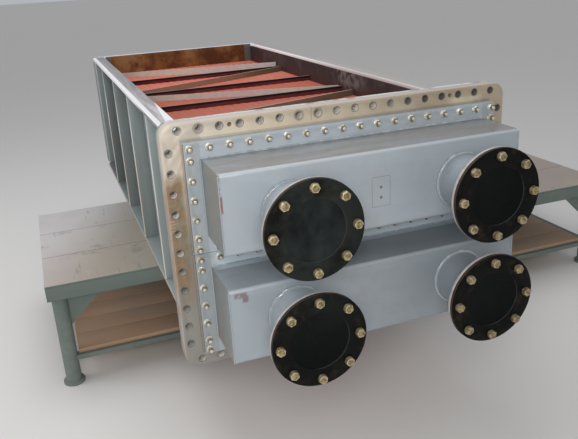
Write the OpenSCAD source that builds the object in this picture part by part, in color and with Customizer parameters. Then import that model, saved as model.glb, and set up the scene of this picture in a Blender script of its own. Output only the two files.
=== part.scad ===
// Water cooled finned tube air cooler, lying on the work table that carries it.
// The cooler's own axes: X across the tube sheet, Y along the tubes away from
// the water boxes, Z up. The face of the tube sheet is at sheet_y. Millimetres.

/* [Tube sheet] */
// width of the drilled tube sheet
tube_sheet_w = 1196; // [900:1:1600]
// height of the drilled tube sheet
tube_sheet_h = 812; // [600:1:1100]
// thickness of the tube sheet
tube_sheet_t = 45; // [20:1:80]
// corner radius of the tube sheet
sheet_corner_r = 44; // [10:1:80]
// pitch that the mounting holes are laid out on, as near as the sheet allows
hole_pitch = 64; // [50:1:80]
// distance of the mounting holes from the sheet's edge
hole_edge = 22; // [15:1:40]
// diameter of a mounting hole
hole_d = 22; // [12:1:30]
// diameter of the four small dowel holes
dowel_d = 14; // [6:1:20]

/* [Casing] */
// length of the casing from its end frame to the back of the rear tube sheet
casing_l = 2529; // [1500:1:3500]
// clear width between the side walls
casing_w = 970; // [700:1:1300]
// height over the casing flanges
casing_h = 694; // [500:1:1000]
// thickness of a side wall
wall_t = 8; // [3:1:15]
// width of a casing flange, measured from the wall's inner face
flange_w = 68; // [30:1:100]
// thickness of a casing flange
flange_t = 14; // [6:1:25]
// thickness of the end frame that the tube sheet is bolted to
end_frame_t = 18; // [10:1:30]
// thickness of the rear tube sheet
rear_sheet_t = 20; // [10:1:40]
// corner radius of the rear tube sheet and of the flanges' far ends
rear_corner_r = 38; // [5:1:60]
// stiffening ribs on each side wall
rib_count = 4; // [2:1:8]
// thickness of a rib
rib_t = 10; // [5:1:20]

/* [Tube bundle] */
// height of the finned bundle
bundle_h = 468; // [300:1:700]
// height of a tube support plate, the last one stays level with the fins
support_h = 518; // [320:1:760]
// thickness of a tube support plate
support_t = 10; // [4:1:20]
// front face of each support plate, from the face of the tube sheet
support_at = [240, 665, 1090, 1510, 1990, 2440];
// height of a zigzag strip on top of the fins
strip_h = 28; // [10:1:60]
// thickness of a zigzag strip
strip_t = 6; // [3:1:12]
// how far the near end of each zigzag strip stands off its plate, from the front
strip_near = [0, 0, 0, 40, 20];
// how far the far end of each zigzag strip stands off its plate, from the front
strip_far = [0, 130, 80, 40, 60];
// how much higher the last zigzag strip is at its right end
strip_rise = 18; // [0:1:40]

/* [Water boxes] */
// width of a water box
box_w = 980; // [700:1:1300]
// height of a water box
box_h = 245; // [150:1:350]
// distance from the tube sheet to the front of a water box
box_reach = 228; // [120:1:350]
// wall thickness of a water box
box_t = 10; // [5:1:20]
// radius of the bent long edges
box_bend_r = 12; // [4:1:30]
// height of the box middle above its flange middle
box_rise = 3; // [0:1:10]
// width of the flange beyond the box at its left and right ends
flange_lip_x = 48; // [35:1:80]
// width of the flange beyond the box above and below
flange_lip_z = 52; // [35:1:80]
// thickness of a water box flange
box_flange_t = 34; // [15:1:50]
// corner radius of a water box flange
box_flange_r = 4; // [2:1:40]
// gap between the two flanges
flange_gap = 2; // [1:1:10]
// pitch that the studs are laid out on, as near as the flange allows
stud_pitch = 61.4; // [45:0.1:80]
// diameter of a stud hole
stud_d = 14; // [8:1:20]
// distance of the studs from the flange's edge
stud_edge = 16; // [12:1:30]
// room between a corner stud and the first one of a short row
stud_corner = 35.5; // [25:0.5:60]

/* [Nozzles] */
// centre of a nozzle from the nearer end of its water box
nozzle_inset = 205; // [150:1:300]
// centre of a nozzle from the middle of its flange, towards the other box
nozzle_drop = 10.5; // [0:0.5:30]
// outside diameter of the nozzle pipe
pipe_d = 168.3; // [114.3:0.1:219.1]
// wall of the nozzle pipe
pipe_t = 7.1; // [3:0.1:12]
// length of the nozzle from the water box to its flange face
nozzle_l = 173; // [80:1:260]
// diameter of the nozzle flange and its cover
cover_d = 285; // [220:1:340]
// thickness of the nozzle flange
nozzle_flange_t = 12; // [8:1:30]
// thickness of the blind cover
cover_t = 11; // [6:1:30]
// diameter of the cover's sunk middle
cover_sink_d = 176; // [80:1:190]
// depth of the sunk middle
cover_sink = 3; // [1:0.5:5]
// bolt circle
cover_pcd = 240; // [180:1:295]
// bolt holes on the circle
cover_bolts = 8; // [4:1:12]
// diameter of a bolt hole
cover_hole_d = 18; // [14:1:26]
// leg of the fillet weld at the nozzle
weld = 8; // [3:1:12]

/* [Return boxes] */
// depth of a return box behind the rear tube sheet
return_l = 150; // [80:1:250]
// thickness of its flange
return_flange_t = 24; // [12:1:40]

/* [Table] */
// length of the table, across the cooler
table_l = 2880; // [2400:1:3600]
// width of the table, along the cooler
table_w = 960; // [700:1:1400]
// height of the table
table_h = 486; // [350:1:900]
// table's left end from the middle of the cooler
table_left = 1018; // [800:1:1400]
// table's front edge behind the face of the tube sheet
table_front = 746; // [500:1:1000]
// thickness of the table top
top_t = 10; // [5:1:20]
// depth of the apron under the top
apron_h = 60; // [40:1:120]
// thickness of the apron
apron_t = 8; // [4:1:12]
// diameter of a leg
leg_d = 65; // [40:1:100]
// diameter of a foot plate
foot_d = 90; // [60:1:140]
// thickness of a foot plate
foot_t = 14; // [6:1:25]
// gap between an apron and a leg
leg_gap = 7; // [2:1:20]
// length of a gusset along the apron
gusset_l = 150; // [60:1:250]
// height of a gusset
gusset_h = 140; // [60:1:250]
// thickness of a gusset
gusset_t = 8; // [4:1:12]
// underside of the lower rails above the floor
rail_z = 109; // [80:1:250]
// height of a lower rail
rail_h = 22; // [15:1:50]
// width of a lower rail
rail_w = 40; // [20:1:60]
// thickness of the wooden shelf
shelf_t = 18; // [10:1:40]

/* [Hidden] */
$fn = 96;
// how far a cut runs past the face that it opens
over = 1;

// the cooler's middle height, from the casing that rests on the table
mid_z = table_h + casing_h / 2;
// whole length, from the covers to the return boxes
front_reach = box_reach + nozzle_l + cover_t;
casing_y0 = tube_sheet_t + end_frame_t;
casing_y1 = casing_y0 + casing_l;
rear_reach = casing_y1 + return_l;
// the origin is the middle of the box round everything, on the floor
shift_x = table_left - table_l / 2;
shift_y = (front_reach - rear_reach) / 2;
half_w = casing_w / 2;
half_h = casing_h / 2;
flange_outer = half_w + flange_w;
wall_l = casing_l - rear_sheet_t;
// the hole ring of the tube sheet, its columns half a pitch outside its rows
column_x = tube_sheet_w / 2 - hole_edge;
row_z = tube_sheet_h / 2 - hole_edge;
row_x = column_x - hole_pitch / 2;
row_holes = round(2 * row_x / hole_pitch) + 1;
row_pitch = 2 * row_x / (row_holes - 1);
column_top = row_z - hole_pitch;
column_holes = round(2 * column_top / hole_pitch) + 1;
column_pitch = 2 * column_top / (column_holes - 1);
// the flanges and stud rings of the water boxes
box_flange_w = box_w + 2 * flange_lip_x;
box_flange_h = box_h + 2 * flange_lip_z;
box_mid = (box_flange_h + flange_gap) / 2;
stud_x = box_flange_w / 2 - stud_edge;
stud_z = box_flange_h / 2 - stud_edge;
stud_row = round(2 * stud_x / stud_pitch) + 1;
stud_top = stud_z - stud_corner;
stud_column = round(2 * stud_top / stud_pitch) + 1;
nozzle_x = box_w / 2 - nozzle_inset;
nozzle_z = box_mid - nozzle_drop;
// the last support plate, and the bays that the zigzag strips cross
last_plate = len(support_at) - 1;
table_x0 = -table_left;
table_x1 = table_l - table_left;
table_y0 = table_front;
table_y1 = table_front + table_w;
leg_inset = apron_t + leg_gap + leg_d / 2;
leg_x = [table_x0 + leg_inset, (table_x0 + table_x1) / 2, table_x1 - leg_inset];
leg_y = [table_y0 + leg_inset, table_y1 - leg_inset];
apron_z = table_h - top_t - apron_h;
shelf_z = rail_z + rail_h;

paint = [0.58, 0.65, 0.68];
paint_dark = [0.42, 0.50, 0.52];
bare = [0.66, 0.62, 0.54];
copper_fins = [0.72, 0.33, 0.27];
dark_steel = [0.10, 0.10, 0.10];
strip_grey = [0.60, 0.57, 0.50];
table_paint = [0.40, 0.46, 0.45];
worn_top = [0.62, 0.57, 0.52];
brown_wood = [0.36, 0.25, 0.18];

// places a piece drawn in the cooler's axes at floor level
module at_floor()
    translate([shift_x, shift_y, 0])
        children();

// places a piece drawn about the middle of the tube sheet
module at_mid()
    translate([shift_x, shift_y, mid_z])
        children();

// a block between two opposite corners
module block(a, b)
    translate(a)
        cube(b - a);

// a flat shape drawn in X and Z, with its front face at y and t thick
module upright(y, t)
    translate([0, y + t, 0])
        rotate([90, 0, 0])
            linear_extrude(height = t)
                children();

module round_rect(w, h, r) {
    square([w - 2 * r, h], center = true);
    square([w, h - 2 * r], center = true);
    for (sx = [-1, 1], sz = [-1, 1])
        translate([sx * (w / 2 - r), sz * (h / 2 - r)])
            circle(r);
}

// the ring of mounting holes and the four dowel holes between them
module mounting_holes() {
    for (i = [0:row_holes - 1], sz = [-1, 1])
        translate([i * row_pitch - row_x, sz * row_z])
            circle(d = hole_d);
    for (k = [0:column_holes - 1], sx = [-1, 1])
        translate([sx * column_x, k * column_pitch - column_top])
            circle(d = hole_d);
    for (sx = [-1, 1], sz = [-1, 1])
        translate([sx * (row_x - 2.5 * row_pitch), sz * row_z])
            circle(d = dowel_d);
}

module tube_sheet()
    color(bare)
        at_mid()
            upright(0, tube_sheet_t)
                difference() {
                    round_rect(tube_sheet_w, tube_sheet_h, sheet_corner_r);
                    mounting_holes();
                }

module casing_end_frame()
    color(paint)
        at_mid()
            upright(tube_sheet_t, end_frame_t)
                difference() {
                    round_rect(tube_sheet_w, tube_sheet_h, sheet_corner_r);
                    square([casing_w, casing_h - 2 * flange_t], center = true);
                    mounting_holes();
                }

// one side wall, side is -1 for left and 1 for right
module side_wall(side)
    color(paint_dark)
        at_mid()
            block(
                [min(side * half_w, side * (half_w + wall_t)), casing_y0, flange_t - half_h],
                [max(side * half_w, side * (half_w + wall_t)), casing_y0 + wall_l,
                    half_h - flange_t]
            );

module left_wall()
    side_wall(-1);

module right_wall()
    side_wall(1);

module rear_tube_sheet()
    color(paint_dark)
        at_mid()
            upright(casing_y0 + wall_l, rear_sheet_t)
                round_rect(2 * flange_outer, casing_h, rear_corner_r);

// a flat bar along one edge of the casing, level is -1 for bottom and 1 for top,
// with its far outer corner rounded like the rear tube sheet
module casing_flange(side, level)
    color(level > 0 ? bare : paint_dark)
        at_mid()
            translate([0, 0, level > 0 ? half_h - flange_t : -half_h])
                linear_extrude(height = flange_t) {
                    translate([min(side * half_w, side * flange_outer), casing_y0])
                        square([flange_w, wall_l - rear_corner_r]);
                    translate([
                        min(side * half_w, side * (flange_outer - rear_corner_r)),
                        casing_y0
                    ])
                        square([flange_w - rear_corner_r, wall_l]);
                    translate([
                        side * (flange_outer - rear_corner_r),
                        casing_y0 + wall_l - rear_corner_r
                    ])
                        circle(rear_corner_r);
                }

module left_top_flange()
    casing_flange(-1, 1);

module right_top_flange()
    casing_flange(1, 1);

module left_bottom_flange()
    casing_flange(-1, -1);

module right_bottom_flange()
    casing_flange(1, -1);

// the ribs of one side wall, between its flanges
module side_ribs(side) {
    pitch = wall_l / (rib_count + 1);
    color(paint_dark)
        at_mid()
            for (i = [1:rib_count])
                block(
                    [min(side * (half_w + wall_t), side * flange_outer),
                        casing_y0 + i * pitch - rib_t / 2, flange_t - half_h],
                    [max(side * (half_w + wall_t), side * flange_outer),
                        casing_y0 + i * pitch + rib_t / 2, half_h - flange_t]
                );
}

module left_ribs()
    side_ribs(-1);

module right_ribs()
    side_ribs(1);

// finned tubes between the support plates, drawn as solid banks
module fin_banks() {
    from = concat([casing_y0], [for (y = support_at) y + support_t]);
    to = concat(support_at, [casing_y0 + wall_l]);
    color(copper_fins)
        at_mid()
            for (i = [0:last_plate + 1])
                block([-half_w, from[i], -bundle_h / 2], [half_w, to[i], bundle_h / 2]);
}

module support_plate(i) {
    h = i < last_plate ? support_h : bundle_h;
    color(dark_steel)
        at_mid()
            block(
                [-half_w, support_at[i], -h / 2],
                [half_w, support_at[i] + support_t, h / 2]
            );
}

module support_plate_1()
    support_plate(0);

module support_plate_2()
    support_plate(1);

module support_plate_3()
    support_plate(2);

module support_plate_4()
    support_plate(3);

module support_plate_5()
    support_plate(4);

module support_plate_6()
    support_plate(5);

// how far one strip end stands off its plate, none where the list is too short
function off_plate(list, i) = i < len(list) ? list[i] : 0;

// flat strips on edge that lead from plate to plate across the fins
module zigzag_strips()
    color(strip_grey)
        at_mid()
            for (i = [0:last_plate - 1]) {
                side = i % 2 == 0 ? 1 : -1;
                y0 = support_at[i] + support_t + off_plate(strip_near, i);
                y1 = support_at[i + 1] - off_plate(strip_far, i);
                run = y1 - y0 - strip_t;
                across = casing_w - 2 * strip_t;
                turn = atan2(-side * run, across);
                long = sqrt(run * run + across * across) - 2 * strip_t;
                right_h = strip_h + (i == last_plate - 1 ? strip_rise : 0);
                translate([0, (y0 + y1) / 2, bundle_h / 2])
                    rotate([0, 0, turn])
                        rotate([90, 0, 0])
                            linear_extrude(height = strip_t, center = true)
                                polygon([
                                    [-long / 2, 0],
                                    [long / 2, 0],
                                    [long / 2, right_h],
                                    [-long / 2, strip_h]
                                ]);
            }

module stud_holes() {
    for (i = [0:stud_row - 1], sz = [-1, 1])
        translate([stud_x * (2 * i / (stud_row - 1) - 1), sz * stud_z])
            circle(d = stud_d);
    for (k = [0:stud_column - 1], sx = [-1, 1])
        translate([sx * stud_x, stud_top * (2 * k / (stud_column - 1) - 1)])
            circle(d = stud_d);
}

// the bolting frame of one water box, level is -1 for lower and 1 for upper
module box_flange(level)
    color(paint)
        at_mid()
            translate([0, 0, level * box_mid])
                upright(-box_flange_t, box_flange_t)
                    difference() {
                        round_rect(box_flange_w, box_flange_h, box_flange_r);
                        translate([0, box_rise])
                            square([box_w - 2 * box_t, box_h - 2 * box_t], center = true);
                        stud_holes();
                    }

module upper_box_flange()
    box_flange(1);

module lower_box_flange()
    box_flange(-1);

// side view of a water box, Y to the left and Z up, with bent front edges
module box_profile(d, h, r) {
    translate([-d, r - h / 2])
        square([d, h - 2 * r]);
    translate([r - d, -h / 2])
        square([d - r, h]);
    for (s = [-1, 1])
        translate([r - d, s * (h / 2 - r)])
            circle(r);
}

// a profile drawn in Y and Z, stretched w along X about the middle
module along_x(w)
    rotate([90, 0, 90])
        translate([0, 0, -w / 2])
            linear_extrude(height = w)
                children();

module water_box(level)
    color(paint)
        at_mid()
            difference() {
                translate([0, -box_flange_t, level * box_mid + box_rise])
                    difference() {
                        along_x(box_w)
                            box_profile(box_reach - box_flange_t, box_h, box_bend_r);
                        along_x(box_w - 2 * box_t)
                            translate([over, 0])
                                box_profile(
                                    box_reach - box_flange_t - box_t + over,
                                    box_h - 2 * box_t,
                                    box_bend_r - box_t / 2
                                );
                    }
                for (sx = [-1, 1])
                    translate([sx * nozzle_x, -box_reach - over, level * nozzle_z])
                        rotate([-90, 0, 0])
                            cylinder(h = box_t + 2 * over, d = pipe_d - 2 * pipe_t);
            }

module upper_water_box()
    water_box(1);

module lower_water_box()
    water_box(-1);

module bolt_circle(h)
    for (i = [0:cover_bolts - 1])
        rotate([0, 0, 90 + i * 360 / cover_bolts])
            translate([cover_pcd / 2, 0, -over])
                cylinder(h = h + 2 * over, d = cover_hole_d);

// pipe stub with its weld and flange, drawn up its own axis
module nozzle(side, level)
    color(paint)
        at_mid()
            translate([side * nozzle_x, -box_reach, level * nozzle_z])
                rotate([90, 0, 0])
                    difference() {
                        union() {
                            cylinder(h = nozzle_l, d = pipe_d);
                            cylinder(h = weld, d1 = pipe_d + 2 * weld, d2 = pipe_d);
                            translate([0, 0, nozzle_l - nozzle_flange_t])
                                cylinder(h = nozzle_flange_t, d = cover_d);
                        }
                        translate([0, 0, -over])
                            cylinder(h = nozzle_l + 2 * over, d = pipe_d - 2 * pipe_t);
                        translate([0, 0, nozzle_l - nozzle_flange_t])
                            bolt_circle(nozzle_flange_t);
                    }

module upper_left_nozzle()
    nozzle(-1, 1);

module upper_right_nozzle()
    nozzle(1, 1);

module lower_left_nozzle()
    nozzle(-1, -1);

module lower_right_nozzle()
    nozzle(1, -1);

module cover(side, level)
    color(dark_steel)
        at_mid()
            translate([side * nozzle_x, -box_reach - nozzle_l, level * nozzle_z])
                rotate([90, 0, 0])
                    difference() {
                        cylinder(h = cover_t, d = cover_d);
                        translate([0, 0, cover_t - cover_sink])
                            cylinder(h = cover_sink + over, d = cover_sink_d);
                        bolt_circle(cover_t);
                    }

module upper_left_cover()
    cover(-1, 1);

module upper_right_cover()
    cover(1, 1);

module lower_left_cover()
    cover(-1, -1);

module lower_right_cover()
    cover(1, -1);

// the box that turns the water round behind the rear tube sheet
module return_box(level)
    color(paint)
        at_mid()
            translate([0, casing_y1, level * box_mid])
                difference() {
                    union() {
                        upright(0, return_flange_t)
                            difference() {
                                round_rect(box_flange_w, box_flange_h - 2 * flange_gap, box_flange_r);
                                stud_holes();
                            }
                        mirror([0, 1, 0])
                            along_x(box_w)
                                box_profile(return_l, box_h, box_bend_r);
                    }
                    mirror([0, 1, 0])
                        along_x(box_w - 2 * box_t)
                            translate([over, 0])
                                box_profile(
                                    return_l - box_t + over,
                                    box_h - 2 * box_t,
                                    box_bend_r - box_t / 2
                                );
                }

module upper_return_box()
    return_box(1);

module lower_return_box()
    return_box(-1);

module table_top()
    color(worn_top)
        at_floor()
            block([table_x0, table_y0, table_h - top_t], [table_x1, table_y1, table_h]);

module front_apron()
    color(table_paint)
        at_floor()
            block(
                [table_x0, table_y0, apron_z],
                [table_x1, table_y0 + apron_t, table_h - top_t]
            );

module rear_apron()
    color(table_paint)
        at_floor()
            block(
                [table_x0, table_y1 - apron_t, apron_z],
                [table_x1, table_y1, table_h - top_t]
            );

module left_apron()
    color(table_paint)
        at_floor()
            block(
                [table_x0, table_y0 + apron_t, apron_z],
                [table_x0 + apron_t, table_y1 - apron_t, table_h - top_t]
            );

module right_apron()
    color(table_paint)
        at_floor()
            block(
                [table_x1 - apron_t, table_y0 + apron_t, apron_z],
                [table_x1, table_y1 - apron_t, table_h - top_t]
            );

// round legs with a foot plate each
module table_legs()
    color(table_paint)
        at_floor()
            for (x = leg_x, y = leg_y)
                translate([x, y, 0]) {
                    cylinder(h = table_h - top_t, d = leg_d);
                    cylinder(h = foot_t, d = foot_d);
                }

// the round space that the legs take, between two heights
module leg_rounds(from, to, d)
    for (x = leg_x, y = leg_y)
        translate([x, y, from])
            cylinder(h = to - from, d = d);

// a three cornered plate from a leg to the underside of the top
module gusset(x, y, way)
    translate([x, y, 0])
        upright(-gusset_t / 2, gusset_t)
            polygon([
                [0, apron_z - gusset_h],
                [0, table_h - top_t],
                [way * (leg_d / 2 + gusset_l), table_h - top_t],
                [way * (leg_d / 2 + gusset_l), apron_z],
                [way * leg_d / 2, apron_z - gusset_h]
            ]);

module leg_gussets()
    color(table_paint)
        at_floor()
            difference() {
                for (y = leg_y) {
                    gusset(leg_x[0], y, 1);
                    gusset(leg_x[1], y, -1);
                    gusset(leg_x[1], y, 1);
                    gusset(leg_x[2], y, -1);
                }
                leg_rounds(0, table_h, leg_d);
            }

// rails from leg to leg along the table, under the shelf
module long_rails()
    color(table_paint)
        at_floor()
            difference() {
                for (i = [0, 1], y = leg_y)
                    block(
                        [leg_x[i], y - rail_w / 2, rail_z],
                        [leg_x[i + 1], y + rail_w / 2, shelf_z]
                    );
                leg_rounds(0, table_h, leg_d);
            }

// rails from front leg to rear leg, under the shelf
module cross_rails()
    color(table_paint)
        at_floor()
            difference() {
                for (x = leg_x)
                    block(
                        [x - rail_w / 2, leg_y[0], rail_z],
                        [x + rail_w / 2, leg_y[1], shelf_z]
                    );
                leg_rounds(0, table_h, leg_d);
            }

// boards on the lower rails, cut away round the legs
module shelf()
    color(brown_wood)
        at_floor()
            difference() {
                block(
                    [leg_x[0] + leg_d / 2 + leg_gap, leg_y[0], shelf_z],
                    [leg_x[2] - leg_d / 2 - leg_gap, leg_y[1], shelf_z + shelf_t]
                );
                leg_rounds(0, table_h, leg_d + 2 * leg_gap);
            }

tube_sheet();
casing_end_frame();
left_wall();
right_wall();
rear_tube_sheet();
left_top_flange();
right_top_flange();
left_bottom_flange();
right_bottom_flange();
left_ribs();
right_ribs();
fin_banks();
support_plate_1();
support_plate_2();
support_plate_3();
support_plate_4();
support_plate_5();
support_plate_6();
zigzag_strips();
upper_box_flange();
lower_box_flange();
upper_water_box();
lower_water_box();
upper_left_nozzle();
upper_right_nozzle();
lower_left_nozzle();
lower_right_nozzle();
upper_left_cover();
upper_right_cover();
lower_left_cover();
lower_right_cover();
upper_return_box();
lower_return_box();
table_top();
front_apron();
rear_apron();
left_apron();
right_apron();
table_legs();
leg_gussets();
long_rails();
cross_rails();
shelf();
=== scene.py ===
"""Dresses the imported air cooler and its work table, and lights them."""

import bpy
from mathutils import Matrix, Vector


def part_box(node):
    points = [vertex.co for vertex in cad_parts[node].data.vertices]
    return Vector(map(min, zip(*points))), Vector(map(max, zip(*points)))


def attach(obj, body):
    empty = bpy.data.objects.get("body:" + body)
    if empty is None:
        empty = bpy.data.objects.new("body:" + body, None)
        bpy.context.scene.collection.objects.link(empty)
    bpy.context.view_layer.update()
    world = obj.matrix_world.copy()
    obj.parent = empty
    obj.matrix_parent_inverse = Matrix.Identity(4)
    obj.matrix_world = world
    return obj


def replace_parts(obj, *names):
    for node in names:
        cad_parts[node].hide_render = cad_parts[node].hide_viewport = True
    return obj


bl_info = {
    "name": "Air cooler dressing",
    "version": (1, 0, 0),
    "blender": (4, 5, 0),
    "location": "View3D > Sidebar > Air cooler",
    "description": "Adds fasteners, welds, fins and finishes to the packed air cooler on its table",
    "category": "Object",
}

import math
import random

import bmesh
import bpy
from bpy.props import FloatProperty, FloatVectorProperty, IntProperty, PointerProperty
from mathutils import Matrix, Vector, noise

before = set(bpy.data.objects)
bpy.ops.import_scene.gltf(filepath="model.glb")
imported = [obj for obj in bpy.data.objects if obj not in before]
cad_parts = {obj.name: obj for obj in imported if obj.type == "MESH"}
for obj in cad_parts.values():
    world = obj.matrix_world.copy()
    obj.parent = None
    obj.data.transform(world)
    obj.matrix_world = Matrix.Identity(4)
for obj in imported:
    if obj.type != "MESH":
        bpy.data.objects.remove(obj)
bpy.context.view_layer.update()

SHEET_LO, SHEET_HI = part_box("tube_sheet")
# middle of the tube sheet's front face
MID = Vector(((SHEET_LO.x + SHEET_HI.x) / 2, SHEET_LO.y, (SHEET_LO.z + SHEET_HI.z) / 2))
NOZZLES = [f"{level}_{side}" for level in ("upper", "lower") for side in ("left", "right")]
TOWARDS_VIEWER = Matrix.Rotation(math.pi / 2, 4, "X")
AWAY_FROM_VIEWER = Matrix.Rotation(-math.pi / 2, 4, "X")
move = Matrix.Translation

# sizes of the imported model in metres, across and up from MID where they are places
HOLE_R, HOLE_PITCH = 0.011, 0.064
ROW_X, ROW_Z = 0.544, 0.384  # first mounting hole of a row
COLUMN_X, COLUMN_Z = 0.576, 0.32  # first mounting hole of a column
NOZZLE_X, NOZZLE_Z = 0.285, 0.165  # axes of the nozzles
SHEET_X, SHEET_Z = 0.598, 0.406  # outer edges of the tube sheet
SEAT_X, SEAT_Z = 0.538, 0.3575  # outer edges of the box flanges
CLEAR_X, CASING_Z = 0.485, 0.347  # inner faces of the side walls, top of the casing
PIPE_R = 0.08415
NOZZLE_FLANGE, RETURN_FLANGE = 0.012, 0.024  # thicknesses


def plane(name, end, axis):
    """Where a node's box begins (0) or ends (1) along an axis, from MID."""
    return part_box(name)[end][axis] - MID[axis]


def length(name, description, default):
    """A length in metres for the sidebar."""
    return FloatProperty(name=name, description=description, default=default, unit="LENGTH")


def colour(name, description, default):
    """A base colour for the sidebar."""
    return FloatVectorProperty(
        name=name, description=description, default=default, subtype="COLOR", size=3, min=0, max=1
    )


class CoolerSizes(bpy.types.PropertyGroup):
    """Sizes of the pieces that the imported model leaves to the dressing."""

    cover_bolt_circle: length("Bolt circle", "Bolt circle of a nozzle cover", 0.240)
    cover_bolts: IntProperty(name="Cover bolts", description="Bolts in a cover", default=8, min=4)
    bolt_flats: length("Bolt head", "Width across the flats of a cover bolt", 0.024)
    bolt_head: length("Bolt head height", "Height of a cover bolt's head", 0.0105)
    bolt_shank: length("Bolt shank", "Diameter of a cover bolt", 0.016)
    stud_flats: length("Stud nut", "Width across the flats of a flange nut", 0.019)
    stud_shank: length("Stud", "Diameter of a flange stud", 0.012)
    stud_edge: length("Stud edge", "Distance of the studs from their flange's edge", 0.016)
    stud_pitch: length("Stud pitch", "Spacing that the studs are laid out on", 0.0614)
    stud_corner: length("Stud corner room", "From a corner stud to the next one down", 0.0355)
    weld: length("Weld", "Width of a weld bead at a nozzle", 0.008)
    tube_pitch: length("Tube pitch", "Spacing of the finned tubes across the bundle", 0.0404)
    ridge: length("Fin ridge", "Height of a finned tube's back over the gap beside it", 0.0014)
    board: length("Board", "Width of a shelf board", 0.145)
    board_gap: length("Board gap", "Gap between two shelf boards", 0.003)


class CoolerColours(bpy.types.PropertyGroup):
    """Base colours of the main finishes."""

    box_paint: colour("Water box paint", "Light blue grey gloss paint", (0.385, 0.435, 0.475))
    casing_paint: colour("Casing paint", "Blue grey paint of the side panels", (0.255, 0.295, 0.29))
    bare_steel: colour("Machined steel", "Bare face of the tube sheet", (0.63, 0.535, 0.405))
    # pale colour of the ribs' outer edges; on the top flanges it is a painted reflection
    pale_edge: colour("Pale edges", "Rubbed outer edges of ribs and flanges", (0.9, 0.9, 0.9))
    copper_fins: colour("Copper fins", "Salmon red of the finned tubes", (0.56, 0.135, 0.08))
    black_paint: colour("Black paint", "Covers and support plates", (0.006, 0.0065, 0.006))
    zinc_yellow: colour("Yellow zinc", "Cover bolts", (0.58, 0.5, 0.33))
    zinc_white: colour("White zinc", "Nuts and studs on the flanges", (0.92, 0.89, 0.8))
    strip_grey: colour("Strips", "Flat strips over the fins", (0.55, 0.54, 0.46))
    table_paint: colour("Table paint", "Grey green paint of the table", (0.14, 0.175, 0.155))
    table_top: colour("Table top", "Worn plate of the table top", (0.37, 0.31, 0.26))
    boards: colour("Boards", "Brown shelf boards", (0.46, 0.28, 0.17))


class Link:
    """A node's output that can be used in sums, as a value or as a colour."""

    def __init__(self, shader, socket):
        self.shader = shader
        self.socket = socket

    def math(self, operation, first, second=0.5):
        """A sum of two values."""
        return self.shader.node("Math", {"operation": operation}, {0: first, 1: second})

    def __add__(self, other):
        return self.math("ADD", self, other)

    __radd__ = __add__

    def __sub__(self, other):
        return self.math("SUBTRACT", self, other)

    def __rsub__(self, other):
        return self.math("SUBTRACT", other, self)

    def __mul__(self, other):
        return self.math("MULTIPLY", self, other)

    __rmul__ = __mul__

    def __abs__(self):
        return self.math("ABSOLUTE", self)

    def high(self, other):
        """The larger of this and other."""
        return self.math("MAXIMUM", self, other)

    def low(self, other):
        """The smaller of this and other."""
        return self.math("MINIMUM", self, other)

    def ramp(self, start, end):
        """A smooth step from 0 at start to 1 at end."""
        inputs = {0: self, 1: start, 2: end, 3: 0.0, 4: 1.0}
        return self.shader.node("MapRange", {"interpolation_type": "SMOOTHSTEP"}, inputs)

    def near(self, start, pitch):
        """Distance to the nearest of the places that lie a pitch apart from start."""
        return self.math("PINGPONG", self - start, pitch / 2)

    def reach(self, other):
        """Length of the line that goes this far one way and other the other way."""
        return self.math("SQRT", self * self + other * other)

    def band(self, middle, half, soft):
        """1 within half of the middle, fading to 0 over soft."""
        return 1 - abs(self - middle).ramp(half, half + soft)


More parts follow.
